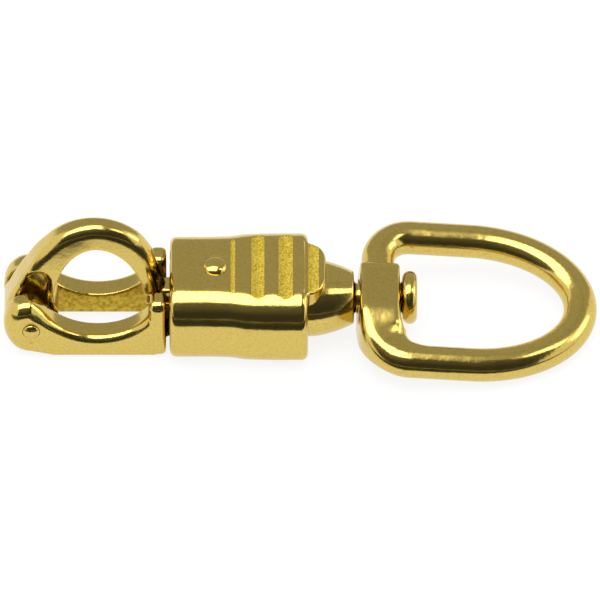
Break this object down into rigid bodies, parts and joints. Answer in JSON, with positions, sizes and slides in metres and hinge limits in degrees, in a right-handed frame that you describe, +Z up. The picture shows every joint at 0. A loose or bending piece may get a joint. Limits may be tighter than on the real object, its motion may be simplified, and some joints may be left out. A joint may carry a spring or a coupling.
{
  "type": "swivel panic snap hook",
  "caption": "Quick-release swivel snap hook: a spring-loaded sleeve locks a hinged arched gate over a forked jaw, with a D-shaped loop free to turn on the other end.",
  "frame": {"origin": "middle of the locking sleeve's flat bottom, on which the hook lies", "axes": "+X along the hook from the jaw to the swivel loop, +Z up from the flat side to the gate, +Y across the hook"},
  "size_m": [0.1202, 0.038, 0.0298],
  "materials": {
    "polished_brass": "cast solid brass, tumbled and polished, with faint casting waves and pits",
    "spring_steel": "bright drawn spring wire"
  },
  "bodies": {
    "body": {"fork_body": "polished_brass", "hinge_pin": "polished_brass", "sleeve_spring": "spring_steel"},
    "gate": {"gate": "polished_brass"},
    "sleeve": {"locking_sleeve": "polished_brass", "sleeve_pin": "polished_brass"},
    "loop": {"swivel_loop": "polished_brass"}
  },
  "joints": [
    {"name": "gate_hinge", "type": "hinge", "parent": "body", "child": "gate", "pos_m": [-0.042, 0, 0.0069], "axis": [0, -1, 0], "range_deg": [0, 110]},
    {"name": "sleeve_slide", "type": "slide", "parent": "body", "child": "sleeve", "axis": [1, 0, 0], "range_m": [0, 0.006], "stiffness_N_per_m": 25, "springref_m": -0.004, "deforming": ["sleeve_spring"]},
    {"name": "loop_swivel", "type": "hinge", "parent": "body", "child": "loop", "pos_m": [0.02816, 0, 0.0082], "axis": [1, 0, 0], "continuous": true}
  ],
  "couplings": [
    {"joint": "sleeve_slide", "follows": "gate_hinge", "m_per_rad": 0.003125}
  ]
}
